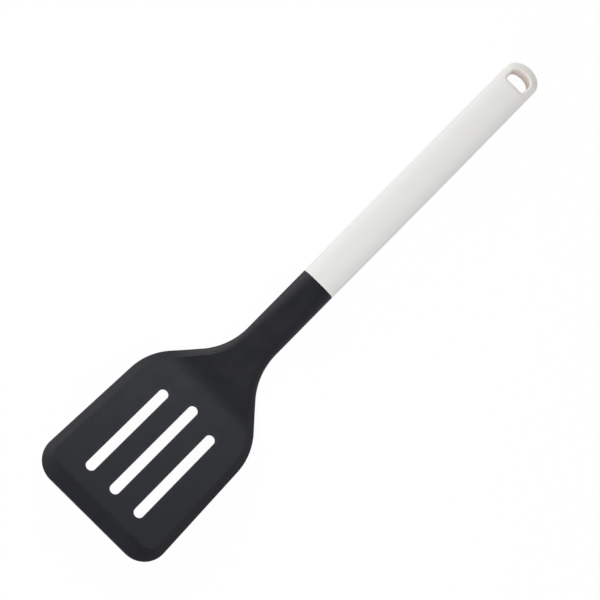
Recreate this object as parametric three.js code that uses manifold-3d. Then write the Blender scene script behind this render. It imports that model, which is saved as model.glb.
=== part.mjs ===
// Slotted turner: a black nylon head whose forked tang snaps into a handle of two layers.
// Millimetres, +Z up. The tool lies on its back with its working face up. +X runs to the
// hanging end, the blade rises towards -X, and the origin is under the middle of the box.

import * as THREE from 'three';
import { mergeVertices } from 'three/addons/utils/BufferGeometryUtils.js';
import Module from 'manifold-3d';

const wasm = await Module();
wasm.setup();

// Lengths along the tool, measured along its back
const handleLength = 169.8; // seam to the hanging end
const neckLength = 77.5; // seam to the middle of the heel bend
const bladeLength = 103.15; // middle of the heel bend to the leading edge

// Handle, and the neck where it meets the handle
const seamWidth = 21.3;
const seamThickness = 13.5;
const handleBelly = 0.47; // extra width halfway along the handle
const tipLength = 7.9; // the half-ellipse that ends the handle
const sideLand = 0.9; // upright land along the sides of the handle and the neck
const faceRounding = 0.75; // reach of the side rounding per unit of thickness, working face
const backRounding = 0.45; // the same on the back, which keeps a flat strip to rest on
const roundingPower = 2.5; // 2 is an ellipse, more is squarer

// Hanging hole: straight edge towards the blade, arch towards the tip
const holeWidth = 12.6;
const holeLength = 8.9;
const holeArch = 3.4; // length of the arched end
const holeCorner = 1.8;
const holeToTip = 5.65; // solid ring left beyond the hole
const rimChamfer = 1.6;

// Neck and heel
const heelRadius = 50; // of the bend, on the back
const bendAngle = THREE.MathUtils.degToRad(21);
const wedgeLength = 83; // seam to where the tapering neck is as thin as the blade
const wedgeEase = 0.7; // half-height over which the taper eases into the blade

// Blade outline
const bladeWidth = 80.3; // where the shoulders end
const neckStraight = 43.1; // seam to where the neck starts to flare
const hollowRadius = 38.7;
const shoulderAngle = THREE.MathUtils.degToRad(40.6);
const shoulderRadius = 37.6;
const sideFlare = THREE.MathUtils.degToRad(1.22);
const cornerRadius = 14.7;

// Blade section
const bladeThickness = 2.5;
const bladeEdge = 0.9;
const sideBevel = 4.5;
const leadBevel = 9.1;
const landStart = 35; // seam to where the land along the sides starts to sink to the back
const landFull = 70; // seam to where the land is level with the back
const bevelStart = 45; // seam to where the round sides start to turn into a bevel
const bevelFull = 90; // seam to where the rim is a plain bevel

// Slots
const slotWidth = 5.75;
const slotPitch = 17.5;
const slotToLead = 17.6;
const slotToBend = 17.8; // the middle slot's end, from the middle of the bend
const slotStep = 5.1; // how much shorter the outer slots are
const slotRows = [-1, 0, 1];

// Joint between head and handle
const fitGap = 0.3;
const skinWall = 2;
const coreSideWall = 2.8;
const coreFaceWall = 1.85;
const sealThickness = 2;
const tangLength = 62;
const tangTaper = 0.5; // lost from each side over the tang's length
const tangLeadIn = 1.6;
const tangRoot = 4; // tang material inside the neck
const forkLength = 26;
const forkGap = 2.4;
const barbReach = 0.9;
const barbLength = 6;
const barbToEnd = 14;
const pocketDepth = 1.1;
const pocketRim = 1.8;
const pocketRootRim = 6;
const coreToHole = 4.5; // solid skin between the core's end and the hanging hole

// Mesh fineness
const bandSteps = 6; // across a rounded or bevelled side
const panelSteps = 3; // from there to the middle
const neckSteps = 5; // along the straight neck
const shoulderSteps = 24; // along the flare and the shoulders
const bladeSideSteps = 4; // along the flared sides of the blade
const cornerSteps = 8; // round a corner of the blade, and round the tip of the handle
const handleSteps = 12; // along the handle
const coreSteps = 6; // along the core and its cavity
const slotSegments = 10; // round the end of a slot
const holeSegments = 8; // round each arc of the hanging hole
const weldDistance = 1e-4;
const cutMargin = 4; // how far cutters stand out of what they cut

const { lerp, smoothstep } = THREE.MathUtils;

const steps = (from, to, count) =>
  Array.from({ length: count + 1 }, (_, i) => lerp(from, to, i / count));

// Rounded edge: 0 at the edge, 1 where the rounding has run out into the face.
const rounded = (share) => (1 - (1 - Math.min(share, 1)) ** roundingPower) ** (1 / roundingPower);

// Places across a row, from -half to +half, close together within `band` of each side.
function placesAcross(half, band) {
  const inner = steps(0, half - band, panelSteps).slice(0, -1);
  const outer = steps(0, Math.PI / 2, bandSteps).map((angle) => half - band * (1 - Math.sin(angle)));
  const side = [...inner, ...outer];
  const mirrored = side.slice(1).reverse().map((y) => -y);
  return [...mirrored, ...side];
}

// A closed solid from rows along +X. Each row is { upper, lower }: two lines of as many
// points, running along +Y.
function sheetSolid(rows) {
  const points = rows.flatMap(({ upper, lower }) => [...upper, ...lower]);
  const last = rows.length - 1;
  const across = rows[0].upper.length;
  const end = across - 1;
  const upper = (row, i) => row * 2 * across + i;
  const lower = (row, i) => upper(row, i) + across;
  const quads = [];
  for (let i = 0; i < end; i++) {
    for (let row = 0; row < last; row++) {
      quads.push([upper(row, i), upper(row + 1, i), upper(row + 1, i + 1), upper(row, i + 1)]);
      quads.push([lower(row, i), lower(row, i + 1), lower(row + 1, i + 1), lower(row + 1, i)]);
    }
    quads.push([lower(0, i + 1), lower(0, i), upper(0, i), upper(0, i + 1)]);
    quads.push([lower(last, i), lower(last, i + 1), upper(last, i + 1), upper(last, i)]);
  }
  for (let row = 0; row < last; row++) {
    quads.push([lower(row, 0), lower(row + 1, 0), upper(row + 1, 0), upper(row, 0)]);
    quads.push([lower(row + 1, end), lower(row, end), upper(row, end), upper(row + 1, end)]);
  }
  const geometry = new THREE.BufferGeometry().setFromPoints(points);
  geometry.setIndex(quads.flatMap(([a, b, c, d]) => [a, b, c, a, c, d]));
  return toSolid(geometry);
}

// Welds a geometry, drops triangles that the weld has closed up, and makes it a solid.
function toSolid(geometry) {
  const bare = new THREE.BufferGeometry();
  bare.setAttribute('position', geometry.getAttribute('position'));
  bare.setIndex(geometry.getIndex());
  const welded = mergeVertices(bare, weldDistance);
  const index = welded.getIndex().array;
  const kept = [];
  for (let i = 0; i < index.length; i += 3) {
    const [a, b, c] = index.slice(i, i + 3);
    if (a !== b && b !== c && c !== a) kept.push(a, b, c);
  }
  const vertProperties = new Float32Array(welded.getAttribute('position').array);
  const mesh = new wasm.Mesh({ numProp: 3, vertProperties, triVerts: new Uint32Array(kept) });
  return new wasm.Manifold(mesh);
}

function toMesh(name, solid, material) {
  const { vertProperties, triVerts } = solid.getMesh();
  const geometry = new THREE.BufferGeometry();
  geometry.setAttribute('position', new THREE.BufferAttribute(vertProperties, 3));
  geometry.setIndex(new THREE.BufferAttribute(triVerts, 1));
  geometry.computeVertexNormals();
  const mesh = new THREE.Mesh(geometry, material);
  mesh.name = name;
  return mesh;
}

// A box cutter between two corners.
function boxSolid(low, high) {
  const size = high.clone().sub(low);
  const middle = high.clone().add(low).divideScalar(2);
  const box = new THREE.BoxGeometry(size.x, size.y, size.z);
  return toSolid(box.translate(middle.x, middle.y, middle.z));
}

// Head, laid out by `along`, the distance from the seam along the back towards the blade

const headLength = neckLength + bladeLength;
const heelStart = neckLength - heelRadius * Math.tan(bendAngle / 2);
const heelEnd = heelStart + heelRadius * bendAngle;
const neckHalf = seamWidth / 2;

// Corner points of the outline: hollow arc, straight shoulder, round arc, flared side
const hollowEnd = {
  along: neckStraight + hollowRadius * Math.sin(shoulderAngle),
  half: neckHalf + hollowRadius * (1 - Math.cos(shoulderAngle)),
};
const roundRise = shoulderRadius * (Math.cos(sideFlare) - Math.cos(shoulderAngle));
const roundRun = shoulderRadius * (Math.sin(shoulderAngle) - Math.sin(sideFlare));
const shoulderRise = bladeWidth / 2 - roundRise - hollowEnd.half;
const roundStart = {
  along: hollowEnd.along + shoulderRise / Math.tan(shoulderAngle),
  half: hollowEnd.half + shoulderRise,
};
const shoulderEnd = roundStart.along + roundRun;

function thicknessAt(along) {
  const taper = ((seamThickness - bladeThickness) * (wedgeLength - along)) / wedgeLength;
  if (taper > wedgeEase) return bladeThickness + taper;
  if (taper < -wedgeEase) return bladeThickness;
  return bladeThickness + (taper + wedgeEase) ** 2 / (4 * wedgeEase);
}

// Half-width of the outline before its corners are rounded, and the angle it runs at.
function sideAt(along) {
  if (along <= neckStraight) return { half: neckHalf, angle: 0 };
  if (along <= hollowEnd.along) {
    const angle = Math.asin((along - neckStraight) / hollowRadius);
    return { half: neckHalf + hollowRadius * (1 - Math.cos(angle)), angle };
  }
  if (along <= roundStart.along) {
    const half = hollowEnd.half + (along - hollowEnd.along) * Math.tan(shoulderAngle);
    return { half, angle: shoulderAngle };
  }
  if (along <= shoulderEnd) {
    const run = along - roundStart.along;
    const angle = Math.asin(Math.sin(shoulderAngle) - run / shoulderRadius);
    const half = roundStart.half + shoulderRadius * (Math.cos(angle) - Math.cos(shoulderAngle));
    return { half, angle };
  }
  return { half: bladeWidth / 2 + (along - shoulderEnd) * Math.tan(sideFlare), angle: sideFlare };
}

// Half-width of the finished outline.
function headHalfAt(along) {
  const intoCorner = along - (headLength - cornerRadius);
  if (intoCorner <= 0) return sideAt(along).half;
  return sideAt(along).half - cornerRadius + Math.sqrt(Math.max(cornerRadius ** 2 - intoCorner ** 2, 0));
}

// How far a point is across the rim: 0 on the outline, 1 and more on the flat panel.
function rimShare(along, y, sideRim) {
  const { half, angle } = sideAt(along);
  const fromSide = (half - Math.abs(y)) * Math.cos(angle);
  const fromLead = headLength - along;
  if (fromSide > cornerRadius || fromLead > cornerRadius) {
    return Math.min(fromSide / sideRim, fromLead / leadBevel);
  }
  const radius = Math.hypot(cornerRadius - fromSide, cornerRadius - fromLead);
  const turn = Math.atan2(cornerRadius - fromLead, cornerRadius - fromSide);
  const rim = lerp(sideRim, leadBevel, Math.sin(turn) ** 2);
  return Math.max(cornerRadius - radius, 0) / rim;
}

// The point at a height over the back line, which is flat, turns at the heel and rises.
function headPoint(along, y, height) {
  const turned = THREE.MathUtils.clamp((along - heelStart) / heelRadius, 0, bendAngle);
  const beyond = Math.max(along - heelEnd, 0);
  const x = -Math.min(along, heelStart) - heelRadius * Math.sin(turned) - beyond * Math.cos(bendAngle);
  const z = heelRadius * (1 - Math.cos(turned)) + beyond * Math.sin(bendAngle);
  return new THREE.Vector3(x + height * Math.sin(turned), y, z + height * Math.cos(turned));
}

// One row across the head: round-sided on the neck, bevelled on the blade.
function headRow(along) {
  const thickness = thicknessAt(along);
  const bevelled = smoothstep(along, bevelStart, bevelFull);
  const sunk = smoothstep(along, landStart, landFull);
  const land = lerp(sideLand, bladeEdge, sunk);
  const low = ((thickness - land) / 2) * (1 - sunk);
  const sideRim = lerp(faceRounding * thickness, sideBevel, bevelled);
  const cornerShare = Math.max(along - (headLength - cornerRadius), 0) / cornerRadius;
  const half = headHalfAt(along);
  const band = lerp(sideRim / Math.cos(sideAt(along).angle), cornerRadius, cornerShare);
  const upper = [];
  const lower = [];
  for (const y of placesAcross(half, Math.min(band, half))) {
    const share = rimShare(along, y, sideRim);
    const rise = lerp(rounded(share), Math.min(share, 1), bevelled);
    const backShare = (share * sideRim) / (backRounding * thickness);
    upper.push(headPoint(along, y, low + land + (thickness - low - land) * rise));
    lower.push(headPoint(along, y, low * (1 - rounded(backShare))));
  }
  return { upper, lower };
}

function headRows() {
  const cornerStart = headLength - cornerRadius;
  const corner = steps(0, Math.PI / 2, cornerSteps).map(
    (angle) => cornerStart + cornerRadius * Math.sin(angle),
  );
  const stations = [
    ...steps(0, neckStraight, neckSteps),
    ...steps(neckStraight, shoulderEnd, shoulderSteps),
    ...steps(shoulderEnd, cornerStart, bladeSideSteps),
    ...corner,
    headLength - leadBevel,
  ];
  const inOrder = [...new Set(stations)].sort((a, b) => b - a);
  return inOrder.map(headRow);
}

// A round-ended slot cutter that stands square to the blade.
function slotSolid(row) {
  const length = bladeLength - slotToLead - slotToBend - Math.abs(row) * slotStep;
  const radius = slotWidth / 2;
  const straight = length - slotWidth;
  const shape = new THREE.Shape();
  shape.absarc(straight, 0, radius, -Math.PI / 2, Math.PI / 2);
  shape.absarc(0, 0, radius, Math.PI / 2, (3 * Math.PI) / 2);
  const depth = bladeThickness + 2 * cutMargin;
  const options = { depth, bevelEnabled: false, curveSegments: slotSegments };
  const cutter = new THREE.ExtrudeGeometry(shape, options);
  const foot = headPoint(headLength - slotToLead - radius, row * slotPitch, -cutMargin);
  return toSolid(cutter.rotateY(bendAngle).translate(foot.x, foot.y, foot.z));
}

// Tang, in the middle of the handle's thickness

const middleHeight = seamThickness / 2;
const coreInset = skinWall + fitGap;
const tangHalfWidth = seamWidth / 2 - coreInset - coreSideWall - fitGap;
const tangHalfThickness = seamThickness / 2 - coreInset - coreFaceWall - fitGap;
const barbStart = tangLength - barbToEnd;

// Plan of the tang, or of its socket when `gap` is given.
function tangPlan(gap) {
  const rootHalf = tangHalfWidth + gap;
  const endHalf = rootHalf - tangTaper;
  const end = tangLength + gap;
  const corners = [
    [-tangRoot, rootHalf],
    [0, rootHalf],
    [end - tangLeadIn, endHalf],
    [end, endHalf - tangLeadIn],
  ];
  const mirrored = corners.map(([x, y]) => [x, -y]).reverse();
  return new THREE.Shape([...corners, ...mirrored].map(([x, y]) => new THREE.Vector2(x, y)));
}

// A plan extruded to a thickness about the handle's middle height.
function slabSolid(shape, thickness) {
  const slab = new THREE.ExtrudeGeometry(shape, { depth: thickness, bevelEnabled: false });
  return toSolid(slab.translate(0, 0, middleHeight - thickness / 2));
}

// Both barbs in one wedge across the tang: square catch towards the seam, ramp towards the end.
function barbSolid() {
  const ramp = barbStart + barbLength;
  const catchHalf = tangHalfWidth - (tangTaper * barbStart) / tangLength + barbReach;
  const rampHalf = catchHalf - barbReach - tangTaper / 2;
  const corners = [
    [barbStart, catchHalf],
    [ramp, rampHalf],
    [ramp, -rampHalf],
    [barbStart, -catchHalf],
  ];
  const shape = new THREE.Shape(corners.map(([x, y]) => new THREE.Vector2(x, y)));
  return slabSolid(shape, 2 * tangHalfThickness);
}

function tangSolid() {
  const fork = boxSolid(
    new THREE.Vector3(tangLength - forkLength, -forkGap / 2, -cutMargin),
    new THREE.Vector3(tangLength + cutMargin, forkGap / 2, seamThickness + cutMargin),
  );
  const pocketHalf = tangHalfWidth - tangTaper - pocketRim;
  const pocketEnd = tangLength - forkLength - pocketRim;
  const face = tangHalfThickness - pocketDepth;
  const pockets = [1, -1].map((side) => {
    const floor = middleHeight + side * face;
    const open = middleHeight + side * (tangHalfThickness + cutMargin);
    return boxSolid(
      new THREE.Vector3(pocketRootRim, -pocketHalf, Math.min(floor, open)),
      new THREE.Vector3(pocketEnd, pocketHalf, Math.max(floor, open)),
    );
  });
  const bar = slabSolid(tangPlan(0), 2 * tangHalfThickness).add(barbSolid());
  return pockets.reduce((tang, pocket) => tang.subtract(pocket), bar.subtract(fork));
}

function headSolid() {
  const blank = sheetSolid(headRows());
  const slotted = slotRows.reduce((blade, row) => blade.subtract(slotSolid(row)), blank);
  return slotted.add(tangSolid());
}

// Handle, laid out by `x`, the distance from the seam towards the hanging end

const tipStart = handleLength - tipLength;
const holeEnd = handleLength - holeToTip;
const holeStart = holeEnd - holeLength;
const sealEnd = fitGap + sealThickness;
const coreStart = sealEnd + fitGap;
const coreEnd = holeStart - coreToHole;

// Half-width of the handle's sides, before the tip is rounded.
function handleSideAt(x) {
  const share = x / handleLength;
  return (seamWidth + 4 * handleBelly * share * (1 - share)) / 2;
}

// Distance of a point in plan from the handle's outline, set in by `inset`.
function handleEdge(x, y, inset) {
  const half = handleSideAt(x) - inset;
  const intoTip = x - tipStart;
  if (intoTip <= 0) return half - Math.abs(y);
  const radius = Math.hypot(intoTip / tipLength, y / half);
  const slope = Math.hypot(intoTip / tipLength ** 2, y / half ** 2) / radius;
  return Math.max(1 - radius, 0) / slope;
}

// One row across the handle, or across a body set in from it all round.
function handleRow(x, inset) {
  const thickness = seamThickness - 2 * inset;
  const low = (thickness - sideLand) / 2;
  const intoTip = Math.max(x - tipStart, 0) / tipLength;
  const half = (handleSideAt(x) - inset) * Math.sqrt(1 - Math.min(intoTip, 1) ** 2);
  const band = Math.min(backRounding * thickness, half);
  const upper = [];
  const lower = [];
  for (const y of placesAcross(half, band)) {
    const edge = handleEdge(x, y, inset);
    const crown = low * rounded(edge / (faceRounding * thickness));
    const keel = low * rounded(edge / (backRounding * thickness));
    upper.push(new THREE.Vector3(x, y, middleHeight + sideLand / 2 + crown));
    lower.push(new THREE.Vector3(x, y, middleHeight - sideLand / 2 - keel));
  }
  return { upper, lower };
}

const handleBody = (stations, inset) => sheetSolid(stations.map((x) => handleRow(x, inset)));

// Plan of the hanging hole.
function holePlan() {
  const half = holeWidth / 2;
  const archStart = holeEnd - holeArch;
  const shape = new THREE.Shape();
  shape.moveTo(holeStart, -half + holeCorner);
  shape.absarc(holeStart + holeCorner, -half + holeCorner, holeCorner, Math.PI, (3 * Math.PI) / 2);
  shape.absellipse(archStart, 0, holeArch, half, -Math.PI / 2, Math.PI / 2);
  shape.absarc(holeStart + holeCorner, half - holeCorner, holeCorner, Math.PI / 2, Math.PI);
  return shape;
}

// The hole's cutter: straight through, with a chamfer at the rim on both faces.
function holeSolid() {
  const through = {
    depth: seamThickness + 2 * cutMargin,
    bevelEnabled: false,
    curveSegments: holeSegments,
  };
  const flared = {
    depth: cutMargin,
    bevelThickness: rimChamfer,
    bevelSize: rimChamfer,
    bevelSegments: 1,
    curveSegments: holeSegments,
  };
  const shaft = new THREE.ExtrudeGeometry(holePlan(), through).translate(0, 0, -cutMargin);
  const front = new THREE.ExtrudeGeometry(holePlan(), flared).translate(0, 0, seamThickness);
  const back = new THREE.ExtrudeGeometry(holePlan(), flared).translate(0, 0, -cutMargin);
  return toSolid(shaft).add(toSolid(front)).add(toSolid(back));
}

function skinSolid() {
  const tip = steps(0, Math.PI / 2, cornerSteps).map(
    (angle) => tipStart + tipLength * Math.sin(angle),
  );
  const stations = [...steps(fitGap, tipStart, handleSteps).slice(0, -1), ...tip];
  const cavity = [fitGap - cutMargin, ...steps(fitGap, coreEnd + fitGap, coreSteps)];
  return handleBody(stations, 0).subtract(handleBody(cavity, skinWall)).subtract(holeSolid());
}

function coreSolid() {
  const body = handleBody(steps(coreStart, coreEnd, coreSteps), coreInset);
  const socket = slabSolid(tangPlan(fitGap), 2 * (tangHalfThickness + fitGap));
  const reach = seamWidth;
  const windowHalf = tangHalfThickness + fitGap;
  const windows = boxSolid(
    new THREE.Vector3(barbStart - fitGap, -reach, middleHeight - windowHalf),
    new THREE.Vector3(barbStart + barbLength + fitGap, reach, middleHeight + windowHalf),
  );
  return body.subtract(socket).subtract(windows);
}

function sealSolid() {
  const body = handleBody([fitGap, sealEnd], coreInset);
  return body.subtract(slabSolid(tangPlan(fitGap), 2 * (tangHalfThickness + fitGap)));
}

// Finishes
const blackNylon = new THREE.MeshStandardMaterial({ color: 0x2b2c30, roughness: 0.5, metalness: 0 });
const offWhiteSkin = new THREE.MeshStandardMaterial({ color: 0xe3e1dd, roughness: 0.75, metalness: 0 });
const paleCore = new THREE.MeshStandardMaterial({ color: 0xcfcac2, roughness: 0.6, metalness: 0 });
const greySeal = new THREE.MeshStandardMaterial({ color: 0x55565a, roughness: 0.85, metalness: 0 });

const turner = new THREE.Group();
turner.add(
  toMesh('turner_head', headSolid(), blackNylon),
  toMesh('handle_core', coreSolid(), paleCore),
  toMesh('grip_skin', skinSolid(), offWhiteSkin),
  toMesh('tang_seal', sealSolid(), greySeal),
);

// The seam stands where the box's middle is over the origin.
turner.position.x = -(handleLength + headPoint(headLength, 0, 0).x) / 2;

export default turner;
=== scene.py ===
# %% [markdown]
# # A slotted kitchen turner
# A turner is two mouldings: a black nylon head, whose thin bevelled blade slides under the food,
# and a matte off-white handle that the neck of the head snaps into. Both are modelled here as
# smooth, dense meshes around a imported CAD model, which fixes every size and place.

import bmesh
import bpy
import numpy as np
from mathutils import Matrix, Vector


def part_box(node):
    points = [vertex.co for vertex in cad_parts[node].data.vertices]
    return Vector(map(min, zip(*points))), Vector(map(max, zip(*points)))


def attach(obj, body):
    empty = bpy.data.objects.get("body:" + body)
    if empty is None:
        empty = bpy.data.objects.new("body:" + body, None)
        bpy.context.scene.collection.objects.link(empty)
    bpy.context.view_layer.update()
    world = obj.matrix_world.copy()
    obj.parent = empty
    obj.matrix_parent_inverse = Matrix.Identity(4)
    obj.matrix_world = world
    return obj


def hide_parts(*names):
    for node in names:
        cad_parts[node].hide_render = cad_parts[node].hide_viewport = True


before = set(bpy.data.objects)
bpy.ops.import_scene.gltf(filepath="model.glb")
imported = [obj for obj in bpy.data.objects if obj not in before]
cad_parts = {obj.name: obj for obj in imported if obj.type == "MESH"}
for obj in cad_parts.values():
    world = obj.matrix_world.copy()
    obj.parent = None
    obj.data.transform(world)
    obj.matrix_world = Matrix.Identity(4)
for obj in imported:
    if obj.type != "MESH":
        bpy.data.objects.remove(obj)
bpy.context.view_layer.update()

print("CAD nodes:", sorted(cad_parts))

# %% [markdown]
# ## Sizes
# The frame gives the seam between head and handle, the handle's length and its thickness. The
# other sizes are those of the moulding itself, in millimetres here and in metres below, because
# Blender works in metres. `along` runs from the seam to the blade, along the back of the head.

# %% Sizes that the frame gives
MM = 0.001
FIT_GAP = 0.3 * MM
grip_low, grip_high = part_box("grip_skin")
seam_x = grip_low.x - FIT_GAP
handle_length = grip_high.x - seam_x
seam_thickness = grip_high.z - grip_low.z
print(f"seam at x = {seam_x / MM:.2f} mm, handle {handle_length / MM:.1f} mm long")

# %% Sizes of the head
SEAM_WIDTH = 21.3 * MM
NECK_LENGTH = 77.5 * MM
BLADE_LENGTH = 103.15 * MM
BLADE_WIDTH = 80.3 * MM
BLADE_THICKNESS = 2.5 * MM
BLADE_EDGE = 0.9 * MM
BEND = np.radians(21)
HEEL_RADIUS = 50 * MM
WEDGE_LENGTH = 83 * MM
WEDGE_EASE = 0.7 * MM
NECK_STRAIGHT = 43.1 * MM
HOLLOW_RADIUS = 38.7 * MM
SHOULDER_ANGLE = np.radians(40.6)
SHOULDER_RADIUS = 37.6 * MM
SIDE_FLARE = np.radians(1.22)
CORNER_RADIUS = 14.7 * MM
SIDE_BEVEL = 4.5 * MM
LEAD_BEVEL = 9.1 * MM
LAND_START = 35 * MM
LAND_FULL = 70 * MM
BEVEL_START = 45 * MM
BEVEL_FULL = 90 * MM
SIDE_LAND = 0.9 * MM
FACE_ROUNDING = 0.75
BACK_ROUNDING = 0.45
ROUNDING_POWER = 2.5

head_length = NECK_LENGTH + BLADE_LENGTH
heel_start = NECK_LENGTH - HEEL_RADIUS * np.tan(BEND / 2)
heel_end = heel_start + HEEL_RADIUS * BEND
print(f"the heel bends from {heel_start / MM:.1f} to {heel_end / MM:.1f} mm along the head")

# %% [markdown]
# ## Meshes from patches
# Every surface here is a patch: rows of points, joined to their neighbours by quads. A piece is
# a handful of patches that meet along their borders. Welding the doubled border points closes
# the piece, and recalculating the normals turns all its faces outwards. A box under a Subdivision
# Surface modifier could be pushed into a similar form, but it wouldn't hold the sizes.

# %% Helpers that turn patches into a piece
WELD = 0.001 * MM


def patch_faces(rows, columns, start, around):
    """Quads between neighbouring points; `around` joins the last column to the first."""
    index = start + np.arange(rows * columns).reshape(rows, columns)
    if around:
        index = np.column_stack([index, index[:, 0]])
    corners = [index[:-1, :-1], index[1:, :-1], index[1:, 1:], index[:-1, 1:]]
    return np.stack(corners, axis=-1).reshape(-1, 4)


def piece_from_patches(name, patches):
    """A closed, smooth piece. Each patch is (points by row and column, around)."""
    points = []
    faces = []
    for grid, around in patches:
        rows, columns, _ = grid.shape
        faces.append(patch_faces(rows, columns, sum(map(len, points)), around))
        points.append(grid.reshape(-1, 3))
    mesh = bpy.data.meshes.new(name)
    mesh.from_pydata(np.concatenate(points).tolist(), [], np.concatenate(faces).tolist())
    work = bmesh.new()
    work.from_mesh(mesh)
    bmesh.ops.remove_doubles(work, verts=work.verts, dist=WELD)
    bmesh.ops.dissolve_degenerate(work, edges=work.edges, dist=WELD)
    bmesh.ops.recalc_face_normals(work, faces=work.faces)
    for face in work.faces:
        face.smooth = True
    work.to_mesh(mesh)
    open_edges = sum(edge.is_boundary for edge in work.edges)
    work.free()
    piece = bpy.data.objects.new(name, mesh)
    bpy.context.scene.collection.objects.link(piece)
    print(f"{name}: {len(mesh.polygons)} faces, {open_edges} open edges")
    return piece


print("points closer than", WELD / MM, "mm are welded")

# %% [markdown]
# ## Rules for rounded forms
# A moulding has no sharp turns: its edges are rounded, and one form runs into the next. Short
# rules give all of that as numbers. A bevel modifier also rounds edges, but by one radius and
# only once the mesh is there, while a rule can change along the piece.

# %% Helpers for rounded forms
def lerp(start, end, share):
    return start + (end - start) * share


def smooth_step(value, start, end):
    share = np.clip((value - start) / (end - start), 0, 1)
    return share * share * (3 - 2 * share)


def rounded(share):
    """Rise of a rounded edge: 0 at the edge, 1 where it has run out into the face."""
    inward = 1 - np.clip(share, 0, 1)
    return (1 - inward**ROUNDING_POWER) ** (1 / ROUNDING_POWER)


def edge_drop(distance, radius):
    """How far a quarter round stands back from its face, by the distance from the edge."""
    inward = radius - np.minimum(distance, radius)
    return radius - np.sqrt(np.maximum(radius**2 - inward**2, 0))


def places_across(half, band, band_steps, panel_steps):
    """Places from -half to half that crowd towards both edges within `band`."""
    angles = np.linspace(0, np.pi / 2, band_steps + 1)
    outer = half - band * (1 - np.cos(angles))
    inner = np.linspace(half - band, 0, panel_steps + 1)[1:]
    side = np.concatenate([outer, inner])
    return np.concatenate([-side, side[-2::-1]])


print(f"halfway in, a rounded edge has risen to {rounded(0.5):.2f} of its height")

# %% [markdown]
# ## The head's outline
# Seen square on, the neck runs straight, hollows outwards into the shoulders, turns round into
# sides that flare a little, and ends in two large round corners. A spline could be drawn over a
# picture, but arcs and straight lines that run into each other are what a mould maker cuts, and
# each of them has a size that can be changed.

# %% Half-width along the head
neck_half = SEAM_WIDTH / 2
hollow_end = NECK_STRAIGHT + HOLLOW_RADIUS * np.sin(SHOULDER_ANGLE)
hollow_end_half = neck_half + HOLLOW_RADIUS * (1 - np.cos(SHOULDER_ANGLE))
round_rise = SHOULDER_RADIUS * (np.cos(SIDE_FLARE) - np.cos(SHOULDER_ANGLE))
round_run = SHOULDER_RADIUS * (np.sin(SHOULDER_ANGLE) - np.sin(SIDE_FLARE))
round_start_half = BLADE_WIDTH / 2 - round_rise
round_start = hollow_end + (round_start_half - hollow_end_half) / np.tan(SHOULDER_ANGLE)
shoulder_end = round_start + round_run


def head_side(along):
    """Half-width before the corners are rounded, and the angle at which the outline runs."""
    hollow_sine = np.clip((along - NECK_STRAIGHT) / HOLLOW_RADIUS, 0, np.sin(SHOULDER_ANGLE))
    round_sine = np.sin(SHOULDER_ANGLE) - (along - round_start) / SHOULDER_RADIUS
    hollow = np.arcsin(hollow_sine)
    turned = np.arcsin(np.clip(round_sine, np.sin(SIDE_FLARE), np.sin(SHOULDER_ANGLE)))
    stretch = [along <= hollow_end, along <= round_start, along <= shoulder_end]
    halves = [
        neck_half + HOLLOW_RADIUS * (1 - np.cos(hollow)),
        hollow_end_half + (along - hollow_end) * np.tan(SHOULDER_ANGLE),
        round_start_half + SHOULDER_RADIUS * (np.cos(turned) - np.cos(SHOULDER_ANGLE)),
    ]
    flared = BLADE_WIDTH / 2 + (along - shoulder_end) * np.tan(SIDE_FLARE)
    angle = np.select(stretch, [hollow, SHOULDER_ANGLE, turned], SIDE_FLARE)
    return np.select(stretch, halves, flared), angle


def head_half(along):
    """Half-width of the finished outline."""
    into_corner = np.maximum(along - (head_length - CORNER_RADIUS), 0)
    cut = CORNER_RADIUS - np.sqrt(np.maximum(CORNER_RADIUS**2 - into_corner**2, 0))
    return head_side(along)[0] - cut


print(f"neck {2 * head_half(0.0) / MM:.1f} mm wide, sides from {shoulder_end / MM:.1f} mm along")

# %% [markdown]
# ## The head's section
# The neck is a rounded bar that thins to the blade like a wedge. On the way there, the upright
# land along its sides sinks to the back, and the rounding turns into a plain bevel. The bevel is
# narrow along the sides and wide along the leading edge, so that this edge is thin enough to
# slide under an egg. All of it is one height rule over the outline, which keeps the change from
# round neck to bevelled blade smooth.

# %% Thickness, and distance from the rim
def head_thickness(along):
    taper = (seam_thickness - BLADE_THICKNESS) * (WEDGE_LENGTH - along) / WEDGE_LENGTH
    eased = (np.clip(taper, -WEDGE_EASE, WEDGE_EASE) + WEDGE_EASE) ** 2 / (4 * WEDGE_EASE)
    return BLADE_THICKNESS + np.where(taper > WEDGE_EASE, taper, eased)


def head_rim(along, y, side_rim):
    """Distance from the outline, and that distance as a share of the rim's width there."""
    half, angle = head_side(along)
    from_side = (half - np.abs(y)) * np.cos(angle)
    from_lead = head_length - along
    in_corner = (from_side < CORNER_RADIUS) & (from_lead < CORNER_RADIUS)
    across = CORNER_RADIUS - from_side
    ahead = CORNER_RADIUS - from_lead
    corner_edge = np.maximum(CORNER_RADIUS - np.hypot(across, ahead), 0)
    corner_rim = lerp(side_rim, LEAD_BEVEL, np.sin(np.arctan2(ahead, across)) ** 2)
    edge = np.where(in_corner, corner_edge, np.minimum(from_side, from_lead))
    plain_share = np.minimum(from_side / side_rim, from_lead / LEAD_BEVEL)
    return edge, np.where(in_corner, corner_edge / corner_rim, plain_share)


for place, along in (("the seam", 0.0), ("the bend", NECK_LENGTH), ("the slots", head_length / 2)):
    print(f"{head_thickness(along) / MM:.1f} mm thick at {place}")

# %% Heights of the working face and the back
EDGE_ROUND = 0.4 * MM
CREASE_SOFTNESS = 0.07


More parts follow.
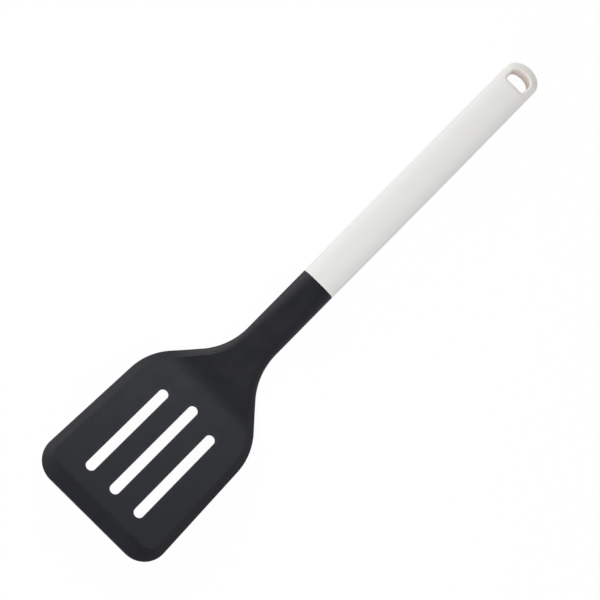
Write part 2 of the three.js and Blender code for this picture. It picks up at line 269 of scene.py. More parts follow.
def soft_limit(share):
    """A bevel that eases into the panel instead of meeting it in a hard crease."""
    over = np.clip(share, 1 - CREASE_SOFTNESS, 1 + CREASE_SOFTNESS)
    eased = 1 - (1 + CREASE_SOFTNESS - over) ** 2 / (4 * CREASE_SOFTNESS)
    return np.where(share < 1 - CREASE_SOFTNESS, share, eased)


def head_heights(along, y):
    """Heights of the working face and of the back, over the back line."""
    thickness = head_thickness(along)
    bevelled = smooth_step(along, BEVEL_START, BEVEL_FULL)
    sunk = smooth_step(along, LAND_START, LAND_FULL)
    land = lerp(SIDE_LAND, BLADE_EDGE, sunk)
    low = (thickness - land) / 2 * (1 - sunk)
    side_rim = lerp(FACE_ROUNDING * thickness, SIDE_BEVEL, bevelled)
    edge, share = head_rim(along, y, side_rim)
    rise = lerp(rounded(share), soft_limit(share), bevelled)
    turned_in = bevelled * edge_drop(edge, EDGE_ROUND)
    face = low + land + (thickness - low - land) * rise - turned_in
    back = low * (1 - rounded(edge / (BACK_ROUNDING * thickness))) + turned_in
    return face, back


lead_face, lead_back = head_heights(head_length - EDGE_ROUND, 0.0)
print(f"behind its rounding, the leading edge is {(lead_face - lead_back) / MM:.2f} mm thick")

# %% [markdown]
# The rules above treat the head as if it were straight. The last one bends it: the back line is
# flat up to the heel, turns there by a round and then rises straight. A Simple Deform modifier
# bends too, but it stretches what lies off its axis.

# %% Places along the bent head
def head_points(along, y, height):
    """Places in the frame, from the place along the back line and the height over it."""
    turned = np.clip((along - heel_start) / HEEL_RADIUS, 0, BEND)
    beyond = np.maximum(along - heel_end, 0)
    x = -np.minimum(along, heel_start) - HEEL_RADIUS * np.sin(turned) - beyond * np.cos(BEND)
    z = HEEL_RADIUS * (1 - np.cos(turned)) + beyond * np.sin(BEND)
    x = seam_x + x + height * np.sin(turned)
    return np.stack(np.broadcast_arrays(x, y, z + height * np.cos(turned)), axis=-1)


tip_of_blade = head_points(head_length, 0.0, BLADE_EDGE)
print("the leading edge stands", round(float(tip_of_blade[2]) / MM, 1), "mm over the table")

# %% [markdown]
# ## The head without its slots
# Rows of points run across the head. They lie close together where the form turns quickly: at
# the seam, round the corners and at the thin edge. Even spacing would need many times the points
# to look as smooth. The face, the back and the strip between their borders are three patches of
# one closed piece.

# %% Where the rows lie
SEAM_ROUND = 0.25 * MM
SEAM_STEPS = 4
CORNER_STEPS = 40
ROW_SPACING = 1.1 * MM
SHOULDER_SPACING = 0.7 * MM


def spaced(start, end, spacing):
    """Places from start to end without the first, about `spacing` apart."""
    return np.linspace(start, end, round((end - start) / spacing) + 1)[1:]


def head_stations():
    seam_turn = np.linspace(0, np.pi / 2, SEAM_STEPS + 1)
    corner_turn = np.linspace(0, np.pi / 2, CORNER_STEPS + 1)[1:]
    corner_start = head_length - CORNER_RADIUS
    return np.concatenate([
        SEAM_ROUND * (1 - np.cos(seam_turn)),
        spaced(SEAM_ROUND, NECK_STRAIGHT, ROW_SPACING),
        spaced(NECK_STRAIGHT, shoulder_end, SHOULDER_SPACING),
        spaced(shoulder_end, corner_start, ROW_SPACING),
        corner_start + CORNER_RADIUS * np.sin(corner_turn),
    ])


print("rows across the head:", len(head_stations()))

# %% One row across the head
RIM_SPREAD = 1.1
MOST_BAND = 0.95
HEAD_BAND_STEPS = 20
HEAD_PANEL_STEPS = 24


def head_row(along):
    """One row of the face and one of the back, drawn in a little at the seam."""
    half = head_half(along)
    thickness = head_thickness(along)
    bevelled = smooth_step(along, BEVEL_START, BEVEL_FULL)
    rim = RIM_SPREAD * lerp(FACE_ROUNDING * thickness, SIDE_BEVEL, bevelled)
    into_corner = np.clip(1 - (head_length - along) / CORNER_RADIUS, 0, 1)
    band = lerp(rim / np.cos(head_side(along)[1]), CORNER_RADIUS, into_corner)
    y = places_across(half, min(band, MOST_BAND * half), HEAD_BAND_STEPS, HEAD_PANEL_STEPS)
    drawn_in = edge_drop(along, SEAM_ROUND)
    middle = thickness / 2
    rows = []
    for height in head_heights(along, y):
        height = middle + (height - middle) * (middle - drawn_in) / middle
        rows.append(head_points(along, y * (half - drawn_in) / half, height))
    return rows


print("points in a row of the head:", len(head_row(0.0)[0]))

# %% Join the rows into the plain head
def border(grid):
    """The points round the border of a patch, in order."""
    return np.concatenate([grid[0, :-1], grid[:-1, -1], grid[-1, :0:-1], grid[:0:-1, 0]])


head_face, head_back = (np.stack(rows) for rows in zip(*map(head_row, head_stations())))
head_rim_strip = np.stack([border(head_face), border(head_back)])
head = piece_from_patches(
    "head", [(head_face, False), (head_back, False), (head_rim_strip, True)]
)

# %% [markdown]
# ## The tang
# Behind the seam the head goes on as a forked tang with two barbs that snap into the handle's
# core. Nobody sees it, so the solid from the frame is good enough: a copy of the head's node is
# welded, cut off at the seam, closed and lengthened a little into the neck, to be united with it.

# %% Cut the tang from the frame's head
TANG_CUT = 0.05 * MM
TANG_ROOT = 3 * MM


def tang_from_frame():
    work = bmesh.new()
    work.from_mesh(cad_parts["turner_head"].data)
    bmesh.ops.remove_doubles(work, verts=work.verts, dist=WELD)
    everything = work.verts[:] + work.edges[:] + work.faces[:]
    place = (seam_x + TANG_CUT, 0, 0)
    bmesh.ops.bisect_plane(
        work, geom=everything, plane_co=place, plane_no=(1, 0, 0), clear_inner=True
    )
    root = [edge for edge in work.edges if edge.is_boundary]
    root_face = bmesh.ops.contextual_create(work, geom=root)["faces"]
    longer = bmesh.ops.extrude_face_region(work, geom=root_face)["geom"]
    moved = [item for item in longer if isinstance(item, bmesh.types.BMVert)]
    bmesh.ops.translate(work, verts=moved, vec=(-TANG_ROOT, 0, 0))
    bmesh.ops.delete(work, geom=root_face, context="FACES_ONLY")
    bmesh.ops.recalc_face_normals(work, faces=work.faces)
    mesh = bpy.data.meshes.new("tang")
    work.to_mesh(mesh)
    open_edges = sum(edge.is_boundary for edge in work.edges)
    work.free()
    print(f"tang: {len(mesh.polygons)} faces, {open_edges} open edges")
    tang = bpy.data.objects.new("tang", mesh)
    bpy.context.scene.collection.objects.link(tang)
    return tang


tang = tang_from_frame()

# %% [markdown]
# ## Finishes: what the materials share
# Both mouldings have the fine grain of a spark-eroded mould, a slow unevenness of gloss, and
# edges that get handled. Each effect is a node group, built once and placed in every material
# with its own values. Small helpers keep the node code short: a value that is a socket is
# linked, and any other value is set on the input itself.

# %% Helpers for node trees
def add_node(tree, kind, inputs=None, **settings):
    """A node with its settings, and its inputs set or linked by name or number."""
    node = tree.nodes.new(kind)
    for name, value in settings.items():
        setattr(node, name, value)
    for key, value in (inputs or {}).items():
        if isinstance(value, bpy.types.NodeSocket):
            tree.links.new(value, node.inputs[key])
        else:
            node.inputs[key].default_value = value
    return node


def math_node(tree, operation, *values):
    node = add_node(tree, "ShaderNodeMath", dict(enumerate(values)), operation=operation)
    return node.outputs[0]


def map_range(tree, value, from_low, from_high, to_low, to_high):
    inputs = dict(enumerate((value, from_low, from_high, to_low, to_high)))
    return add_node(tree, "ShaderNodeMapRange", inputs).outputs["Result"]


def new_group(kind, name, inputs, outputs):
    """An empty node group with named sockets, and its input and output nodes."""
    tree = bpy.data.node_groups.new(name, kind)
    for in_out, sockets in (("INPUT", inputs), ("OUTPUT", outputs)):
        for label, socket_type in sockets.items():
            tree.interface.new_socket(label, in_out=in_out, socket_type=socket_type)
    return tree, tree.nodes.new("NodeGroupInput"), tree.nodes.new("NodeGroupOutput")


# %% [markdown]
# ### Moulded grain
# A spark-eroded mould leaves a skin of tiny rounded pits. A fine noise and coarser, rounded cells
# give its height, and a much slower noise varies the gloss as real mouldings do where the melt
# cooled unevenly. A picture of a grain would repeat and stretch over the curved faces, and a
# texture in Object coordinates does neither.

# %% Group: moulded grain
COARSE_SCALE = 0.3
FINE_SHARE = 0.6
COARSE_SHARE = 0.4
MOST_NOISE = (0.3, 0.7)
GRAIN_SWING = 0.5


def moulded_grain():
    tree, given, result = new_group(
        "ShaderNodeTree",
        "moulded_grain",
        {
            "Vector": "NodeSocketVector",
            "Pits per metre": "NodeSocketFloat",
            "Patches per metre": "NodeSocketFloat",
            "Roughness": "NodeSocketFloat",
            "Roughness spread": "NodeSocketFloat",
        },
        {"Height": "NodeSocketFloat", "Roughness": "NodeSocketFloat", "Patches": "NodeSocketFloat"},
    )
    place = given.outputs["Vector"]
    pits = given.outputs["Pits per metre"]
    fine = add_node(tree, "ShaderNodeTexNoise", {"Vector": place, "Scale": pits, "Detail": 2.0})
    coarse_scale = math_node(tree, "MULTIPLY", pits, COARSE_SCALE)
    coarse = add_node(
        tree, "ShaderNodeTexVoronoi", {"Vector": place, "Scale": coarse_scale}, feature="SMOOTH_F1"
    )
    fine_height = math_node(tree, "MULTIPLY", fine.outputs["Fac"], FINE_SHARE)
    pit_height = coarse.outputs["Distance"]
    height = math_node(tree, "MULTIPLY_ADD", pit_height, COARSE_SHARE, fine_height)
    patch_scale = given.outputs["Patches per metre"]
    patches = add_node(
        tree, "ShaderNodeTexNoise", {"Vector": place, "Scale": patch_scale, "Detail": 3.0}
    ).outputs["Fac"]
    swing = map_range(tree, patches, *MOST_NOISE, -1.0, 1.0)
    grain_swing = map_range(tree, fine.outputs["Fac"], *MOST_NOISE, -GRAIN_SWING, GRAIN_SWING)
    both = math_node(tree, "ADD", swing, grain_swing)
    spread = given.outputs["Roughness spread"]
    roughness = math_node(tree, "MULTIPLY_ADD", both, spread, given.outputs["Roughness"])
    tree.links.new(height, result.inputs["Height"])
    tree.links.new(roughness, result.inputs["Roughness"])
    tree.links.new(patches, result.inputs["Patches"])
    return tree


grain_group = moulded_grain()
print("node group:", grain_group.name)

# %% [markdown]
# ### Handling marks
# Edges that touch pans and drawers get lighter and smoother first, in broken stretches, and the
# faces pick up hairline scratches. The pieces carry a point attribute `edge_wear`, which is 1 on
# an edge and fades out within two millimetres, and this group breaks it up with noise. The
# Pointiness of a Geometry node finds edges too, but it changes with the density of the mesh.

# %% Group: handling marks
PATCHY_NOISE = (0.38, 0.62)
HAIRLINE_NOISE = (0.66, 0.74)
SCRATCH_TURN = 0.35
SCRATCH_STRETCH = 14


def handling_marks():
    tree, given, result = new_group(
        "ShaderNodeTree",
        "handling_marks",
        {
            "Vector": "NodeSocketVector",
            "Edge": "NodeSocketFloat",
            "Break up per metre": "NodeSocketFloat",
            "Scratches per metre": "NodeSocketFloat",
        },
        {"Worn edge": "NodeSocketFloat", "Scratches": "NodeSocketFloat"},
    )
    place = given.outputs["Vector"]
    scale = given.outputs["Break up per metre"]
    broken = add_node(tree, "ShaderNodeTexNoise", {"Vector": place, "Scale": scale, "Detail": 4.0})
    patchy = map_range(tree, broken.outputs["Fac"], *PATCHY_NOISE, 0.0, 1.0)
    worn = math_node(tree, "MULTIPLY", given.outputs["Edge"], patchy)
    stretched = add_node(
        tree,
        "ShaderNodeMapping",
        {
            "Vector": place,
            "Rotation": (0.0, 0.0, SCRATCH_TURN),
            "Scale": (1, SCRATCH_STRETCH, 1),
        },
    )
    lines = add_node(
        tree,
        "ShaderNodeTexNoise",
        {
            "Vector": stretched.outputs["Vector"],
            "Scale": given.outputs["Scratches per metre"],
            "Detail": 1.0,
        },
    )
    hairlines = map_range(tree, lines.outputs["Fac"], *HAIRLINE_NOISE, 0.0, 1.0)
    tree.links.new(worn, result.inputs["Worn edge"])
    tree.links.new(hairlines, result.inputs["Scratches"])
    return tree


marks_group = handling_marks()
print("node group:", marks_group.name)

# %% [markdown]
# ### The four finishes
# One function makes a moulded finish from its colours and sizes, because all four pieces are
# mouldings: only the colour, the gloss and the size of the grain differ. What is the same all
# over a surface is set on the shader itself.

# %% Mix two colours
COLOUR_PLACES = (6, 7)


def mix_colour(tree, share, first, second):
    """From the first colour to the second; each is a socket or red, green and blue.

    A Mix node has inputs of every kind, and those for colours stand in COLOUR_PLACES.
    """
    inputs = {"Factor": share}
    for place, colour in zip(COLOUR_PLACES, (first, second)):
        inputs[place] = colour if isinstance(colour, bpy.types.NodeSocket) else (*colour, 1.0)
    mix = add_node(tree, "ShaderNodeMix", inputs, data_type="RGBA")
    return next(socket for socket in mix.outputs if socket.type == "RGBA")


# %% A moulded finish
EDGE_ATTRIBUTE = "edge_wear"
PATCHES_PER_METRE = 90.0
ROUGHNESS_SPREAD = 0.05
BREAKS_PER_METRE = 400.0
SCRATCHES_PER_METRE = 160.0
SCRATCH_SHARE = 0.3
WEAR_POLISH = -0.15
BUMP_STRENGTH = 0.5


def moulded_finish(name, colour, patch_colour, worn_colour, grain, roughness, wear, specular):
    """A moulded plastic: `grain` is the pit size and depth, `wear` how much marks show."""
    pit_size, pit_depth = grain
    finish = bpy.data.materials.new(name)
    finish.use_nodes = True
    tree = finish.node_tree
    shader = tree.nodes["Principled BSDF"]
    place = add_node(tree, "ShaderNodeTexCoord").outputs["Object"]
    edge = add_node(tree, "ShaderNodeAttribute", attribute_name=EDGE_ATTRIBUTE).outputs["Fac"]
    skin_inputs = {
        "Vector": place,
        "Pits per metre": 1 / pit_size,
        "Patches per metre": PATCHES_PER_METRE,
        "Roughness": roughness,
        "Roughness spread": ROUGHNESS_SPREAD,
    }
    skin = add_node(tree, "ShaderNodeGroup", skin_inputs, node_tree=grain_group).outputs
    mark_inputs = {
        "Vector": place,
        "Edge": edge,
        "Break up per metre": BREAKS_PER_METRE,
        "Scratches per metre": SCRATCHES_PER_METRE,
    }
    marks = add_node(tree, "ShaderNodeGroup", mark_inputs, node_tree=marks_group).outputs
    shown = math_node(tree, "MULTIPLY", marks["Worn edge"], wear)
    scratched = math_node(tree, "MULTIPLY", marks["Scratches"], SCRATCH_SHARE * wear)
    worn = math_node(tree, "MAXIMUM", shown, scratched)
    ground = mix_colour(tree, skin["Patches"], colour, patch_colour)
    tree.links.new(mix_colour(tree, worn, ground, worn_colour), shader.inputs["Base Color"])
    polished = math_node(tree, "MULTIPLY_ADD", worn, WEAR_POLISH, skin["Roughness"])
    tree.links.new(polished, shader.inputs["Roughness"])
    bump_inputs = {"Height": skin["Height"], "Strength": BUMP_STRENGTH, "Distance": pit_depth}
    bump = add_node(tree, "ShaderNodeBump", bump_inputs).outputs["Normal"]
    tree.links.new(bump, shader.inputs["Normal"])
    shader.inputs["Specular IOR Level"].default_value = specular
    print("finish:", name)
    return finish


# %% [markdown]
# The nylon is close to black, a little bluish, and satin rather than glossy. The skin is a warm
# off-white that scatters most of its light. Nobody sees the core and the seal, but a piece that
# is taken apart should still look like something.

# %% Finishes of the head and the grip
black_nylon = moulded_finish(
    "satin_black_nylon",
    colour=(0.0003, 0.0010, 0.0052),
    patch_colour=(0.0014, 0.0021, 0.0067),
    worn_colour=(0.040, 0.041, 0.046),
    grain=(0.30 * MM, 0.030 * MM),
    roughness=0.45,
    wear=0.3,
    specular=0.5,
)
matte_off_white = moulded_finish(
    "matte_off_white",
    colour=(0.834, 0.823, 0.803),
    patch_colour=(0.820, 0.808, 0.786),
    worn_colour=(0.86, 0.855, 0.845),
    grain=(0.22 * MM, 0.020 * MM),
    roughness=0.62,
    wear=0.30,
    specular=0.4,
)

# %% Finishes of the hidden pieces
pale_core = moulded_finish(
    "natural_core",
    colour=(0.62, 0.59, 0.53),
    patch_colour=(0.58, 0.55, 0.49),
    worn_colour=(0.70, 0.68, 0.63),
    grain=(0.40 * MM, 0.020 * MM),
    roughness=0.5,
    wear=0.2,
    specular=0.5,
)
grey_seal = moulded_finish(
    "soft_grey_seal",
    colour=(0.085, 0.085, 0.092),
    patch_colour=(0.100, 0.100, 0.106),
    worn_colour=(0.16, 0.16, 0.17),
    grain=(0.25 * MM, 0.030 * MM),
    roughness=0.8,
    wear=0.2,
    specular=0.4,
)

# %% [markdown]
# ### Painted warm shade at the hanging hole
# Inside the hole, light goes back and forth between pale walls and comes out warmer each time,
# and the rounded ring round it lies partly in shade. A short path through a fast renderer loses
# that, so the shade is painted into the skin's colour: a second point attribute, `hole_nearness`,
# is 0 on the bar, one half on the ring round the hole and 1 on its wall, and a ramp turns it into
# a cream ring painted a little darker and a wall painted with a warm, darker shade.

# %% Paint warm shade into the skin near the hole
HOLE_SHADE_ATTRIBUTE = "hole_nearness"
ON_RING = 0.5
# Painted shade: the ring round the hole and its wall get colours darker and warmer than the bare skin.
RING_PAINTED_SHADE = (0.802, 0.789, 0.748)
WALL_PAINTED_WARM_SHADE = (0.780, 0.716, 0.680)


# Paints the warm shade of the hole into the skin's base colour.
def paint_warm_shade_near_hole(finish):
    tree = finish.node_tree
    base = tree.nodes["Principled BSDF"].inputs["Base Color"]
    near = add_node(tree, "ShaderNodeAttribute", attribute_name=HOLE_SHADE_ATTRIBUTE).outputs["Fac"]
    ramp = add_node(tree, "ShaderNodeValToRGB", {"Fac": near})
    ring, wall = ramp.color_ramp.elements
    ring.position = ON_RING
    ring.color = (*RING_PAINTED_SHADE, 1.0)
    wall.color = (*WALL_PAINTED_WARM_SHADE, 1.0)
    share = map_range(tree, near, 0.0, ON_RING, 0.0, 1.0)
    plain = base.links[0].from_socket
    tree.links.new(mix_colour(tree, share, plain, ramp.outputs["Color"]), base)


paint_warm_shade_near_hole(matte_off_white)
print("warmed near the hole:", matte_off_white.name)

# %% [markdown]
# ## The slots
# Three round-ended slots let fat run off. They repeat, so a Geometry Nodes tree makes them: one
# cylinder is instanced once per slot, and a Set Position node stretches each into a cutter of
# its own length, flared at both faces so that the cut leaves a rounded rim. A Boolean cuts them
# out of the head, and a second one unites the head with its tang.

# %% Slot sizes
SLOT_COUNT = 3
SLOT_WIDTH = 5.75 * MM
SLOT_PITCH = 17.5 * MM
SLOT_TO_LEAD = 17.6 * MM
SLOT_TO_BEND = 17.8 * MM
SLOT_STEP = 5.1 * MM
SLOT_RIM = 0.45 * MM
RIM_OVERLAP = 0.015 * MM
CUT_MARGIN = 1 * MM

middle_slot = BLADE_LENGTH - SLOT_TO_LEAD - SLOT_TO_BEND
slot_foot = head_points(head_length - SLOT_TO_LEAD, 0.0, 0.0)
print(f"slots: middle {middle_slot / MM:.1f} mm, outer {(middle_slot - SLOT_STEP) / MM:.1f} mm long")

# %% [markdown]
# A cutter's outline from its middle up is the straight wall of the slot, then the quarter round
# of the rim, then a margin beyond the face. A ring of the cylinder knows only its height, from -1
# to 1, and the shares of that height up to WALL_END and RIM_END stand for the wall and the rim.

# %% Profile of a cutter
WALL_END = 0.2
RIM_END = 0.8


def cutter_profile(tree, height, thickness, rim):
    """Height of a cutter's ring and how far it flares, from its height in the cylinder."""
    level = math_node(tree, "ABSOLUTE", height)
    turn = map_range(tree, level, WALL_END, RIM_END, 0.0, np.pi / 2)
    wall_top = math_node(tree, "MULTIPLY_ADD", thickness, 0.5, RIM_OVERLAP)
    wall_top = math_node(tree, "SUBTRACT", wall_top, rim)
    up_wall = map_range(tree, level, 0.0, WALL_END, 0.0, 1.0)
    wall = math_node(tree, "MULTIPLY", up_wall, wall_top)
    up_rim = math_node(tree, "MULTIPLY", math_node(tree, "SINE", turn), rim)
    beyond = map_range(tree, level, RIM_END, 1.0, 0.0, CUT_MARGIN)
    rise = math_node(tree, "ADD", math_node(tree, "ADD", wall, up_rim), beyond)
    signed = math_node(tree, "MULTIPLY", rise, math_node(tree, "SIGN", height))
    upright = math_node(tree, "MULTIPLY", math_node(tree, "COSINE", turn), rim)
    flare = math_node(tree, "SUBTRACT", rim, upright)
    return math_node(tree, "MULTIPLY_ADD", thickness, 0.5, signed), flare


slot_wall = BLADE_THICKNESS + 2 * (RIM_OVERLAP - SLOT_RIM)
print(f"a slot's wall is {slot_wall / MM:.2f} mm high between its two rims")

# %% [markdown]
# The cylinders are instances on points that carry the number of their row, counted from the
# middle one. Each is turned by half a side, because a corner right on the blade's middle line
# would leave slivers in the cut.

# %% A cylinder for each slot
CUTTER_SIDES = 64
CUTTER_RINGS = 20
ROW_ATTRIBUTE = "slot_row"


def slot_cylinders(tree, take):
    """The cylinders as one mesh, and the row that each point of it belongs to."""
    points = add_node(tree, "GeometryNodePoints", {"Count": take["Slot count"]})
    number = tree.nodes.new("GeometryNodeInputIndex").outputs["Index"]
    last = math_node(tree, "SUBTRACT", take["Slot count"], 1.0)
    row = math_node(tree, "MULTIPLY_ADD", last, -0.5, number)
    numbered = add_node(
        tree,
        "GeometryNodeStoreNamedAttribute",
        {"Geometry": points.outputs[0], "Name": ROW_ATTRIBUTE, "Value": row},
        data_type="FLOAT",
        domain="POINT",
    )
    blank = add_node(
        tree,
        "GeometryNodeMeshCylinder",
        {"Vertices": CUTTER_SIDES, "Side Segments": CUTTER_RINGS, "Radius": 1.0, "Depth": 2.0},
    )
    placed = add_node(
        tree,
        "GeometryNodeInstanceOnPoints",
        {
            "Points": numbered.outputs[0],
            "Instance": blank.outputs["Mesh"],
            "Rotation": (0.0, 0.0, np.pi / CUTTER_SIDES),
        },
    )
    cylinders = add_node(tree, "GeometryNodeRealizeInstances", {"Geometry": placed.outputs[0]})
    slot_row = add_node(
        tree, "GeometryNodeInputNamedAttribute", {"Name": ROW_ATTRIBUTE}, data_type="FLOAT"
    )
    return cylinders.outputs[0], slot_row.outputs["Attribute"]


print(f"a cutter has {CUTTER_SIDES} sides and {CUTTER_RINGS} rings of faces")

# %% Stretch the cylinders into cutters
def slot_cutters(tree, take):
    """The cutters at their lengths, stood in a row across the rising blade."""
    cylinders, slot_row = slot_cylinders(tree, take)
    position = tree.nodes.new("GeometryNodeInputPosition").outputs[0]
    ring = add_node(tree, "ShaderNodeSeparateXYZ", {"Vector": position}).outputs
    height, flare = cutter_profile(tree, ring["Z"], take["Blade thickness"], take["Rim radius"])
    away = math_node(tree, "ABSOLUTE", slot_row)
    shorter = math_node(tree, "MULTIPLY", away, take["Step per row"])
    length = math_node(tree, "SUBTRACT", take["Middle slot length"], shorter)
    straight = math_node(tree, "SUBTRACT", length, take["Slot width"])
    half_straight = math_node(tree, "MULTIPLY", straight, 0.5)
    radius = math_node(tree, "MULTIPLY_ADD", take["Slot width"], 0.5, flare)
    shift = math_node(tree, "MULTIPLY", math_node(tree, "SIGN", ring["X"]), half_straight)
    along = math_node(tree, "MULTIPLY_ADD", ring["X"], radius, shift)
    along = math_node(tree, "MULTIPLY_ADD", length, 0.5, along)
    across = math_node(tree, "MULTIPLY", slot_row, take["Slot pitch"])
    across = math_node(tree, "MULTIPLY_ADD", ring["Y"], radius, across)
    place = add_node(tree, "ShaderNodeCombineXYZ", {"X": along, "Y": across, "Z": height})
    shaped = add_node(
        tree, "GeometryNodeSetPosition", {"Geometry": cylinders, "Position": place.outputs[0]}
    )
    lean = add_node(tree, "ShaderNodeCombineXYZ", {"Y": take["Blade rise"]})
    set_down = add_node(
        tree,
        "GeometryNodeTransform",
        {
            "Geometry": shaped.outputs[0],
            "Translation": take["Slot foot"],
            "Rotation": lean.outputs[0],
        },
    )
    return set_down.outputs[0]


# %% Tree: slotted head
def slotted_head_tree():
    sizes = ["Slot pitch", "Slot width", "Middle slot length", "Step per row", "Rim radius"]
    inputs = {
        "Geometry": "NodeSocketGeometry",
        "Tang": "NodeSocketObject",
        "Slot count": "NodeSocketInt",
        **{size: "NodeSocketFloat" for size in sizes},
        "Blade thickness": "NodeSocketFloat",
        "Slot foot": "NodeSocketVector",
        "Blade rise": "NodeSocketFloat",
        "Finish": "NodeSocketMaterial",
    }
    tree, given, result = new_group(
        "GeometryNodeTree", "slotted_head", inputs, {"Geometry": "NodeSocketGeometry"}
    )
    take = given.outputs
    cut = add_node(tree, "GeometryNodeMeshBoolean", operation="DIFFERENCE", solver="EXACT")
    tree.links.new(take["Geometry"], cut.inputs["Mesh 1"])
    tree.links.new(slot_cutters(tree, take), cut.inputs["Mesh 2"])
    tang_solid = add_node(tree, "GeometryNodeObjectInfo", {"Object": take["Tang"]})
    united = add_node(tree, "GeometryNodeMeshBoolean", operation="UNION", solver="EXACT")
    tree.links.new(cut.outputs["Mesh"], united.inputs["Mesh 2"])
    tree.links.new(tang_solid.outputs["Geometry"], united.inputs["Mesh 2"])
    realized = add_node(tree, "GeometryNodeRealizeInstances", {"Geometry": united.outputs["Mesh"]})
    finished = add_node(
        tree,
        "GeometryNodeSetMaterial",
        {"Geometry": realized.outputs[0], "Material": take["Finish"]},
    )
    tree.links.new(finished.outputs[0], result.inputs["Geometry"])
    return tree


slotted_head = slotted_head_tree()
print("geometry tree:", slotted_head.name, "with", len(slotted_head.nodes), "nodes")

# %% [markdown]
# A modifier takes its inputs by the socket's identifier, not by its name, so a short function
# looks each one up. The evaluated result then becomes the piece's plain mesh.

# %% Cut the slots and unite the tang
def set_inputs(modifier, values):
    for item in modifier.node_group.interface.items_tree:
        if item.item_type == "SOCKET" and item.name in values:
            modifier[item.identifier] = values[item.name]


def bake_modifiers(piece):
    """The evaluated shape as the piece's own mesh, without modifiers."""
    evaluated = piece.evaluated_get(bpy.context.evaluated_depsgraph_get())
    piece.data = bpy.data.meshes.new_from_object(evaluated)
    piece.modifiers.clear()


slots = head.modifiers.new("slots", "NODES")
slots.node_group = slotted_head
set_inputs(slots, {
    "Tang": tang,
    "Slot count": SLOT_COUNT,
    "Slot pitch": SLOT_PITCH,
    "Slot width": SLOT_WIDTH,
    "Middle slot length": middle_slot,
    "Step per row": SLOT_STEP,
    "Rim radius": SLOT_RIM,
    "Blade thickness": BLADE_THICKNESS,
    "Slot foot": slot_foot.tolist(),
    "Blade rise": float(BEND),
    "Finish": black_nylon,
})
bake_modifiers(head)
bpy.data.objects.remove(tang)
print(f"slotted head: {len(head.data.polygons)} faces")

# %% [markdown]
# ## The handle's outline and section
# The handle is a straight bar with a slight belly, rounded more on the working side than on the
# back, where a flat strip lets it lie still. Its end is a half-ellipse round a D-shaped hole for
# a hook. A curve with a bevel object would sweep such a bar quickly, but its end couldn't close
# round a hole, so a height rule over the outline makes it, as it makes the head. `x` runs from
# the seam to the hanging end, and `inset` gives the hollow inside.

# %% Height rule of the handle
BELLY = 0.47 * MM
TIP_LENGTH = 7.9 * MM
SKIN_WALL = 2 * MM
TINY = 1e-9
tip_start = handle_length - TIP_LENGTH
middle_height = grip_low.z + seam_thickness / 2


def handle_side(x):
    share = x / handle_length
    return (SEAM_WIDTH + 4 * BELLY * share * (1 - share)) / 2


def handle_edge(x, y, inset):
    """Distance in plan from the outline, set in by `inset`."""
    half = handle_side(x) - inset
    into_tip = np.maximum(x - tip_start, 0) / TIP_LENGTH
    radius = np.maximum(np.hypot(into_tip, y / half), TINY)
    slope = np.maximum(np.hypot(into_tip / TIP_LENGTH, y / half**2) / radius, TINY)
    return np.where(x > tip_start, np.maximum(1 - radius, 0) / slope, half - np.abs(y))


def handle_heights(x, y, inset):
    thickness = seam_thickness - 2 * inset
    low = (thickness - SIDE_LAND) / 2
    edge = handle_edge(x, y, inset)
    face = middle_height + SIDE_LAND / 2 + low * rounded(edge / (FACE_ROUNDING * thickness))
    back = middle_height - SIDE_LAND / 2 - low * rounded(edge / (BACK_ROUNDING * thickness))
    return face, back


print(f"handle {2 * handle_side(handle_length / 2) / MM:.1f} mm wide at its belly")

# %% [markdown]
# ## The hanging hole
# The hole is a D: straight towards the blade, arched towards the tip. A Boolean would leave a
# sharp rim, and the faces round it are curved, so a bevel would be uneven. Instead the patch
# round the hole is made of rings that grow from the handle's outline into the hole's outline,
# and the height rule drops along a quarter round by the distance from the hole.

# %% The hole's outline
HOLE_WIDTH = 12.6 * MM
HOLE_LENGTH = 8.9 * MM
HOLE_ARCH = 3.4 * MM
HOLE_CORNER = 1.8 * MM
HOLE_TO_TIP = 5.65 * MM
HOLE_CORNER_POINTS = 40
HOLE_ARCH_POINTS = 240
HOLE_POINTS = 720
hole_end = handle_length - HOLE_TO_TIP
hole_start = hole_end - HOLE_LENGTH
hole_middle = (hole_start + hole_end) / 2


def arc(centre, radii, start, end, count):
    angles = np.linspace(start, end, count)
    turn = np.stack([np.cos(angles), np.sin(angles)], axis=1)
    return np.array(centre) + np.array(radii) * turn


def hole_outline():
    """Points round the hole, close enough together to measure distances from."""
    half = HOLE_WIDTH / 2
    corner_x = hole_start + HOLE_CORNER
    corner_y = half - HOLE_CORNER
    corner = (HOLE_CORNER, HOLE_CORNER)
    arch_x = hole_end - HOLE_ARCH
    stretches = [
        arc((corner_x, -corner_y), corner, np.pi, 1.5 * np.pi, HOLE_CORNER_POINTS),
        arc((arch_x, 0.0), (HOLE_ARCH, half), -np.pi / 2, np.pi / 2, HOLE_ARCH_POINTS),
        arc((corner_x, corner_y), corner, np.pi / 2, np.pi, HOLE_CORNER_POINTS),
    ]
    outline = np.concatenate(stretches)
    closed = np.vstack([outline, outline[:1]])
    run = np.concatenate([[0], np.cumsum(np.hypot(*np.diff(closed, axis=0).T))])
    even = np.linspace(0, run[-1], HOLE_POINTS, endpoint=False)
    return np.stack([np.interp(even, run, closed[:, axis]) for axis in (0, 1)], axis=1)


hole_points = hole_outline()
print(f"hanging hole {HOLE_WIDTH / MM:.1f} x {HOLE_LENGTH / MM:.1f} mm")

# %% Distance and direction from the hole
def hole_distance(x, y):
    gaps = np.hypot(x[..., None] - hole_points[:, 0], y[..., None] - hole_points[:, 1])
    return gaps.min(axis=-1)


